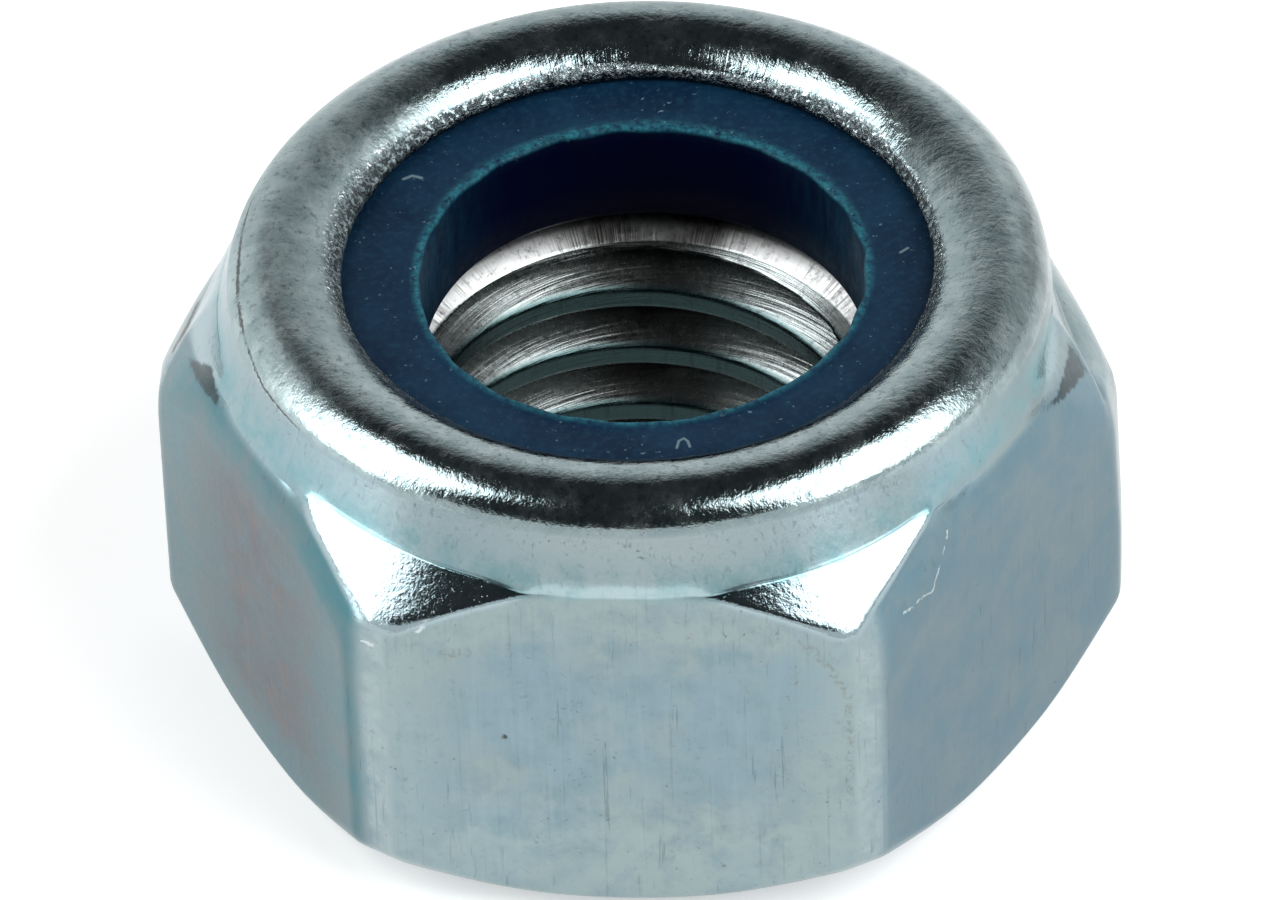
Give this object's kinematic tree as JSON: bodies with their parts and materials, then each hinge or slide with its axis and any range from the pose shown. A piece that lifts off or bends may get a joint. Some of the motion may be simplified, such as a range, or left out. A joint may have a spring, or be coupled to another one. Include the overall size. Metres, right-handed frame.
{
  "type": "hexagon lock nut with nylon insert",
  "caption": "Zinc plated steel hexagon nut with a round collar rolled over a dark blue nylon ring that grips the bolt thread.",
  "frame": {"origin": "centre of the bearing face, on the thread axis", "axes": "+Z along the thread axis from the bearing face to the collar, X through two opposite hexagon corners, Y square to two flats"},
  "size_m": [0.019, 0.0168, 0.01],
  "materials": {
    "zinc_plated_steel": "bright zinc plate over a drawn and forged surface, fine streaks and specks",
    "blue_nylon": "satin dark blue polyamide"
  },
  "bodies": {
    "root": {"nut_body": "zinc_plated_steel", "nylon_insert": "blue_nylon"}
  },
  "joints": []
}
